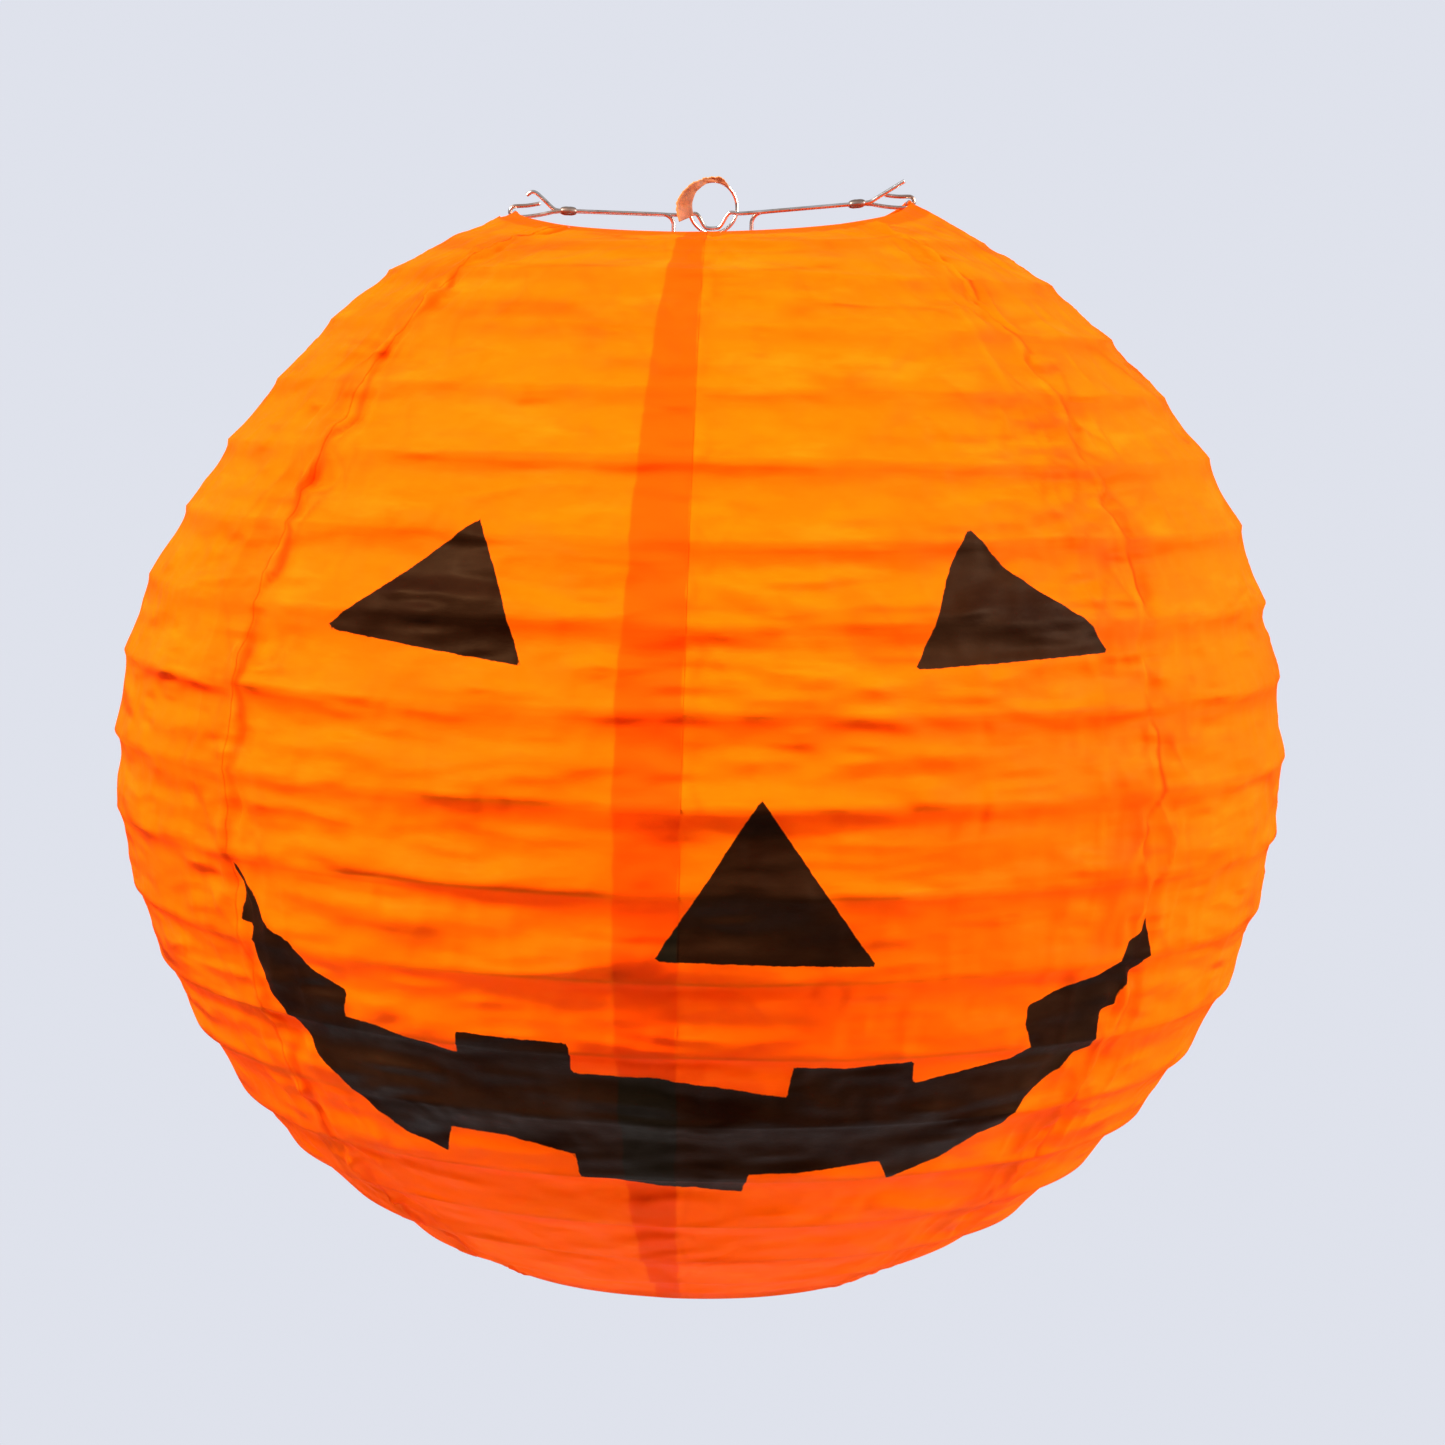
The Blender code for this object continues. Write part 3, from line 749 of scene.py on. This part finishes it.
class Nodes:
    """Short ways to add and join the nodes of one material."""

    def __init__(self, name):
        self.material = bpy.data.materials.new(name)
        self.material.use_nodes = True
        self.tree = self.material.node_tree
        self.shader = self.tree.nodes["Principled BSDF"]
        self.output = self.tree.nodes["Material Output"]

    def add(self, kind, **inputs):
        """A node of a kind, its named inputs set to values or joined to other sockets."""
        made = self.tree.nodes.new(kind)
        for name, value in inputs.items():
            self.set(made.inputs[name.replace("_", " ")], value)
        return made

    def set(self, socket, value):
        """Joins an input to a socket, or sets its value."""
        if isinstance(value, bpy.types.NodeSocket):
            self.tree.links.new(value, socket)
        else:
            socket.default_value = value

    def place(self, scale):
        """The object's own coordinates, stretched."""
        source = self.tree.nodes.new("ShaderNodeTexCoord")
        mapping = self.tree.nodes.new("ShaderNodeMapping")
        self.tree.links.new(source.outputs["Object"], mapping.inputs["Vector"])
        mapping.inputs["Scale"].default_value = scale
        return mapping.outputs["Vector"]

    def noise(self, scale, detail=4.0, roughness=0.55, stretch=(1, 1, 1), ridge=False):
        """Noise texture in the object's own coordinates."""
        made = self.add(
            "ShaderNodeTexNoise", Vector=self.place(stretch), Scale=scale, Detail=detail, Roughness=roughness
        )
        if ridge:
            made.noise_type = "RIDGED_MULTIFRACTAL"
        return made.outputs["Fac"]

    def attribute(self, name):
        """A value stored on the mesh."""
        made = self.tree.nodes.new("ShaderNodeAttribute")
        made.attribute_name = name
        return made.outputs["Fac"]

    def math(self, operation, first, second=0.0):
        """One sum on two values."""
        made = self.tree.nodes.new("ShaderNodeMath")
        made.operation = operation
        self.set(made.inputs[0], first)
        self.set(made.inputs[1], second)
        return made.outputs[0]

    def spread(self, value, low, high, to_low=0.0, to_high=1.0):
        """Maps a value from one range to another, held at the ends."""
        made = self.tree.nodes.new("ShaderNodeMapRange")
        for name, item in (
            ("Value", value), ("From Min", low), ("From Max", high), ("To Min", to_low), ("To Max", to_high)
        ):
            self.set(made.inputs[name], item)
        return made.outputs["Result"]

    def blend(self, share, first, second, how="MIX"):
        """A mix of two colours."""
        made = self.tree.nodes.new("ShaderNodeMix")
        made.data_type = "RGBA"
        made.blend_type = how
        self.set(made.inputs["Factor"], share)
        self.set(made.inputs[6], first)
        self.set(made.inputs[7], second)
        return made.outputs[2]

    def bump(self, heights):
        """Bumps stacked on one another, from (height, strength, distance)."""
        normal = None
        for height, strength, distance in heights:
            made = self.add("ShaderNodeBump", Height=height, Strength=strength, Distance=distance)
            if normal is not None:
                self.tree.links.new(normal, made.inputs["Normal"])
            normal = made.outputs["Normal"]
        return normal


def colour(red, green, blue):
    """A colour with full alpha."""
    return (red, green, blue, 1.0)


def dyed_paper(nodes):
    """Orange tissue paper: cloudy dye, mottles and fibres."""
    clouds = nodes.spread(nodes.noise(11.0, 3.0), 0.32, 0.68)
    base = nodes.blend(clouds, colour(0.93, 0.132, 0.0004), colour(0.96, 0.160, 0.0006))
    mottle = nodes.spread(nodes.noise(70.0, 6.0, 0.7), 0.30, 0.72, 0.0, 0.40)
    base = nodes.blend(mottle, base, colour(0.98, 0.185, 0.0010))
    fibres = nodes.spread(nodes.noise(260.0, 5.0, 0.65, (1, 1, 3.5)), 0.35, 0.75, 0.0, 0.22)
    return nodes.blend(fibres, base, colour(0.86, 0.088, 0.0004))


def crease_highlight_and_shade(nodes, base):
    """Painted highlights on the wrinkles' crests and painted shade in their valleys, with painted light and
    dark streaks between them.
    """
    crest_highlight = nodes.spread(nodes.attribute("crease"), 0.20, 1.5, 0.0, 0.45)
    base = nodes.blend(crest_highlight, base, colour(1.0, 0.20, 0.003))
    valley_shade = nodes.spread(nodes.attribute("crease"), -0.25, -1.3, 0.0, 0.45)
    base = nodes.blend(valley_shade, base, colour(0.78, 0.070, 0.0003))
    painted_streaks = nodes.noise(34.0, 4.0, 0.6, (1, 1, 4.5))
    base = nodes.blend(nodes.spread(painted_streaks, 0.54, 0.70, 0.0, 0.50), base, colour(1.0, 0.215, 0.003))
    return nodes.blend(nodes.spread(painted_streaks, 0.44, 0.30, 0.0, 0.25), base, colour(0.80, 0.080, 0.0003))


def painted_shade_lines(nodes, base):
    """Painted shade in a band just under each wire, a painted shadow line along each seam's lapped edge and
    painted shadow lines along the sharpest folds.
    """
    lines = (
        ("wire_shade", nodes.spread(nodes.noise(18.0, 3.0), 0.3, 0.65, 0.10, 0.60), (0.76, 0.070, 0.0003)),
        ("seam_shadow_line", nodes.spread(nodes.noise(60.0, 3.0), 0.4, 0.6, 0.1, 0.9), (0.55, 0.030, 0.0002)),
        ("fold_shadow_line", nodes.spread(nodes.noise(40.0, 3.0), 0.35, 0.6, 0.05, 0.65), (0.70, 0.055, 0.0003)),
    )
    for name, strength, shade in lines:
        share = nodes.math("MULTIPLY", nodes.attribute(name), strength)
        base = nodes.blend(share, base, colour(*shade))
    return base


def paper_colour(nodes):
    """The paper without its print, deeper in its laps and hems, and how much of a place is lap."""
    # Painted highlights and shade on the wrinkles, then painted shade under wires, along seams and along
    # folds.
    base = painted_shade_lines(nodes, crease_highlight_and_shade(nodes, dyed_paper(nodes)))
    wavy = nodes.spread(nodes.noise(90.0, 2.0), 0.3, 0.7, -0.5, 0.5)
    lap = nodes.spread(nodes.math("ADD", nodes.attribute("lap_mm"), wavy), -0.25, 0.35)
    lap = nodes.math("MULTIPLY", lap, nodes.spread(nodes.attribute("front_lap"), 0.0, 1.0, 0.16, 1.0))
    base = nodes.blend(nodes.math("MULTIPLY", lap, 0.75), base, colour(0.88, 0.070, 0.0006))
    hem = nodes.spread(nodes.attribute("edge_rows"), HEM + 0.012, HEM - 0.012, 0.0, 0.55)
    return nodes.blend(hem, base, colour(0.86, 0.078, 0.0004)), lap


def ink_colour(nodes, lap):
    """Black-brown ink, thinner in places, and greener where it lies over a lap."""
    thin = nodes.spread(nodes.noise(26.0, 5.0, 0.6, (1, 1, 2.5)), 0.35, 0.75)
    base = nodes.blend(thin, colour(0.009, 0.0016, 0.0004), colour(0.026, 0.0085, 0.0030))
    return nodes.blend(nodes.math("MULTIPLY", lap, 0.75), base, colour(0.006, 0.0055, 0.003))


def paper_bumps(nodes):
    """Folds, crumples and fibres too small for the mesh."""
    folds = nodes.noise(24.0, 3.0, 0.45, (1, 1, 3.6), ridge=True)
    crumple = nodes.noise(52.0, 5.0, 0.5, (1, 1, 3.2), ridge=True)
    cross = nodes.noise(85.0, 4.0, 0.5, (1.6, 1.6, 1), ridge=True)
    fibre = nodes.noise(700.0, 3.0, 0.6, (1, 1, 2))
    bumps = [(folds, 1.0, 0.0050), (crumple, 1.0, 0.0026), (cross, 0.7, 0.0013), (fibre, 0.35, 0.00014)]
    return nodes.bump(bumps)


def orange_paper():
    """The lantern's printed paper, which lets some light through."""
    nodes = Nodes("orange_paper")
    base, lap = paper_colour(nodes)
    ragged = nodes.spread(nodes.noise(420.0, 3.0), 0.3, 0.7, -0.12, 0.12)
    ink = nodes.spread(nodes.math("ADD", nodes.attribute("ink_mm"), ragged), -0.14, 0.14)
    shown = nodes.blend(ink, base, ink_colour(nodes, lap))
    nodes.set(nodes.shader.inputs["Base Color"], shown)
    dull = nodes.spread(nodes.noise(120.0, 5.0), 0.3, 0.7, 0.58, 0.74)
    gloss = nodes.math("SUBTRACT", dull, nodes.math("MULTIPLY", ink, 0.12))
    nodes.set(nodes.shader.inputs["Roughness"], gloss)
    nodes.shader.inputs["Specular IOR Level"].default_value = 0.04
    nodes.shader.inputs["Specular Tint"].default_value = colour(1.0, 0.45, 0.12)
    nodes.set(nodes.shader.inputs["Normal"], paper_bumps(nodes))
    glow = nodes.blend(ink, colour(0.97, 0.150, 0.0005), shown)
    through = nodes.add("ShaderNodeBsdfTranslucent", Color=glow)
    mixed = nodes.tree.nodes.new("ShaderNodeMixShader")
    nodes.set(mixed.inputs[0], nodes.spread(ink, 0.0, 1.0, 0.42, 0.05))
    nodes.tree.links.new(nodes.shader.outputs[0], mixed.inputs[1])
    nodes.tree.links.new(through.outputs[0], mixed.inputs[2])
    nodes.tree.links.new(mixed.outputs[0], nodes.output.inputs["Surface"])
    return nodes.material


def metal(name, bright, warm, low_roughness, high_roughness):
    """Drawn metal: warm patches in the plating, fine draw lines and uneven gloss."""
    nodes = Nodes(name)
    patches = nodes.spread(nodes.noise(95.0, 5.0, 0.6), 0.42, 0.66)
    tint = nodes.blend(patches, colour(*bright), colour(*warm))
    specks = nodes.spread(nodes.noise(900.0, 3.0), 0.60, 0.75, 0.0, 0.5)
    nodes.set(nodes.shader.inputs["Base Color"], nodes.blend(specks, tint, colour(0.20, 0.13, 0.09)))
    nodes.shader.inputs["Metallic"].default_value = 1.0
    gloss = nodes.spread(nodes.noise(300.0, 4.0), 0.3, 0.7, low_roughness, high_roughness)
    nodes.set(nodes.shader.inputs["Roughness"], gloss)
    lines = nodes.noise(1500.0, 2.0, 0.5, (1, 1, 0.3))
    nodes.set(nodes.shader.inputs["Normal"], nodes.bump([(lines, 0.25, 0.00003)]))
    return nodes.material


def brown_paper():
    """The scrap's rust-brown paper, paler along its torn edge."""
    nodes = Nodes("brown_paper")
    clouds = nodes.spread(nodes.noise(260.0, 4.0), 0.35, 0.65)
    base = nodes.blend(clouds, colour(0.22, 0.050, 0.008), colour(0.36, 0.095, 0.014))
    worn = nodes.spread(nodes.noise(900.0, 4.0, 0.7), 0.45, 0.62, 0.0, 0.5)
    base = nodes.blend(worn, base, colour(0.13, 0.030, 0.006))
    edge = nodes.spread(nodes.attribute("torn"), 0.84, 1.0, 0.0, 0.55)
    nodes.set(nodes.shader.inputs["Base Color"], nodes.blend(edge, base, colour(0.62, 0.26, 0.04)))
    rough = nodes.spread(nodes.noise(500.0, 3.0), 0.3, 0.7, 0.62, 0.82)
    nodes.set(nodes.shader.inputs["Roughness"], rough)
    fibre = nodes.noise(1200.0, 4.0, 0.6)
    nodes.set(nodes.shader.inputs["Normal"], nodes.bump([(fibre, 0.5, 0.00012)]))
    return nodes.material


def pale_ground():
    """The plain pale floor."""
    nodes = Nodes("pale_ground")
    grain = nodes.spread(nodes.noise(40.0, 2.0), 0.3, 0.7)
    base = nodes.blend(grain, colour(0.76, 0.78, 0.84), colour(0.78, 0.80, 0.86))
    nodes.set(nodes.shader.inputs["Base Color"], base)
    nodes.shader.inputs["Roughness"].default_value = 0.9
    return nodes.material


# The set.

def pale_floor():
    """A round floor some way under the lantern."""
    mesh = bmesh.new()
    bmesh.ops.create_circle(mesh, cap_ends=True, segments=96, radius=FLOOR_RADIUS)
    data = bpy.data.meshes.new("floor")
    mesh.to_mesh(data)
    mesh.free()
    floor = bpy.data.objects.new("floor", data)
    floor.location.z = FLOOR_LEVEL
    floor.data.materials.append(pale_ground())
    bpy.context.scene.collection.objects.link(floor)


def soft_light(name, location, size, power, tint):
    """A square soft light aimed at the lantern's middle."""
    data = bpy.data.lights.new(name, "AREA")
    data.size = size
    data.energy = power
    data.color = tint
    light = bpy.data.objects.new(name, data)
    light.location = location
    aim = Vector((0, 0, FACE_LEVEL)) - Vector(location)
    light.rotation_euler = aim.to_track_quat("-Z", "Y").to_euler()
    light.visible_camera = False
    bpy.context.scene.collection.objects.link(light)


def pale_world():
    """A pale even background, which lights the lantern softly, more from above than from below."""
    world = bpy.data.worlds.new("pale_world")
    bpy.context.scene.world = world
    world.use_nodes = True
    nodes, links = world.node_tree.nodes, world.node_tree.links
    background = nodes["Background"]
    background.inputs["Color"].default_value = BACKGROUND
    path = nodes.new("ShaderNodeLightPath")
    direction = nodes.new("ShaderNodeTexCoord")
    height = nodes.new("ShaderNodeSeparateXYZ")
    links.new(direction.outputs["Generated"], height.inputs["Vector"])
    lighting = nodes.new("ShaderNodeMapRange")
    span = {"From Min": -0.6, "From Max": 0.7, "To Min": FILL_FROM_BELOW, "To Max": FILL_FROM_ABOVE}
    for name, value in span.items():
        lighting.inputs[name].default_value = value
    links.new(height.outputs["Z"], lighting.inputs["Value"])
    strength = nodes.new("ShaderNodeMapRange")
    strength.inputs["To Max"].default_value = 1.0
    links.new(path.outputs["Is Camera Ray"], strength.inputs["Value"])
    links.new(lighting.outputs["Result"], strength.inputs["To Min"])
    links.new(strength.outputs["Result"], background.inputs["Strength"])


def set_camera():
    """The camera at the front, a little above the face level and rolled slightly."""
    data = bpy.data.cameras.new("camera")
    data.lens = CAMERA_LENS_MM
    data.sensor_width = 36
    data.shift_x, data.shift_y = CAMERA_SHIFT
    camera = bpy.data.objects.new("camera", data)
    bpy.context.scene.collection.objects.link(camera)
    reach = CAMERA_DISTANCE * math.cos(CAMERA_ELEVATION)
    camera.location = (0, -reach, FACE_LEVEL + CAMERA_DISTANCE * math.sin(CAMERA_ELEVATION))
    aim = Vector((0, math.cos(CAMERA_ELEVATION), -math.sin(CAMERA_ELEVATION)))
    facing = aim.to_track_quat("-Z", "Y").to_matrix()
    camera.rotation_euler = (facing @ Matrix.Rotation(CAMERA_ROLL, 3, "Z")).to_euler()
    bpy.context.scene.camera = camera


# Putting it together.

def dress(made, material, body, slot, *nodes):
    """Gives a piece its material and body, and lets it stand for CAD nodes."""
    if material is not None:
        made.data.materials.append(material)
    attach(made, body)
    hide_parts(*nodes)
    return made


def add_rings(material):
    """All the wire rings, each on its CAD ring's body."""
    names = []
    azimuth = np.arange(192) * 2 * math.pi / 192
    for row, node in enumerate(ring_names()):
        radius, z = ring_line(row, azimuth)
        name = f"wire_{node}"
        ring = tube(name, around(radius, azimuth, z), wire_radius(row), (0, 0, 1), closed=True, sides=8)
        body = "stretched_frame" if row == 0 else node
        dress(ring, material, body, "plated_wire", node)
        if row > 0:
            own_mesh(ring)
        names.append(name)
    return names


def add_paper(ring_pieces):
    """The eight panels, each a stretched sheet."""
    material = orange_paper()
    for number in range(1, PANEL_COUNT + 1):
        gore = paper_gore(number, material)
        dress(gore, None, "stretched_frame", "orange_paper", f"paper_panel_{number}")
        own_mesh(gore)


def add_hardware(plated):
    """The expander, its sleeves, the hanging ring and the scrap."""
    dark = metal("ferrule_metal", (0.30, 0.25, 0.22), (0.24, 0.12, 0.07), 0.30, 0.50)
    coppery = metal("coppery_wire", (0.62, 0.52, 0.46), (0.50, 0.27, 0.17), 0.20, 0.36)
    dress(hanger_wire(), plated, "stretched_frame", "plated_wire", "hanger_wire")
    for side in ("left", "right"):
        dress(leg_wire(side), coppery, "stretched_frame", "plated_wire", f"{side}_leg_wire")
        dress(crimped_sleeve(side), dark, "stretched_frame", "ferrule_metal", f"{side}_ferrule")
    dress(hanging_ring(), coppery, "hanging_ring", "plated_wire", "hanging_ring")
    dress(torn_scrap(), brown_paper(), "hanging_ring", "brown_paper", "ring_scrap")


plated_wire = metal("plated_wire", (0.66, 0.64, 0.62), (0.56, 0.40, 0.30), 0.18, 0.34)
add_paper(add_rings(plated_wire))
add_hardware(plated_wire)
pale_floor()
pale_world()
for one_light in LIGHTS:
    soft_light(*one_light)
set_camera()
bpy.context.scene.view_settings.view_transform = "Standard"
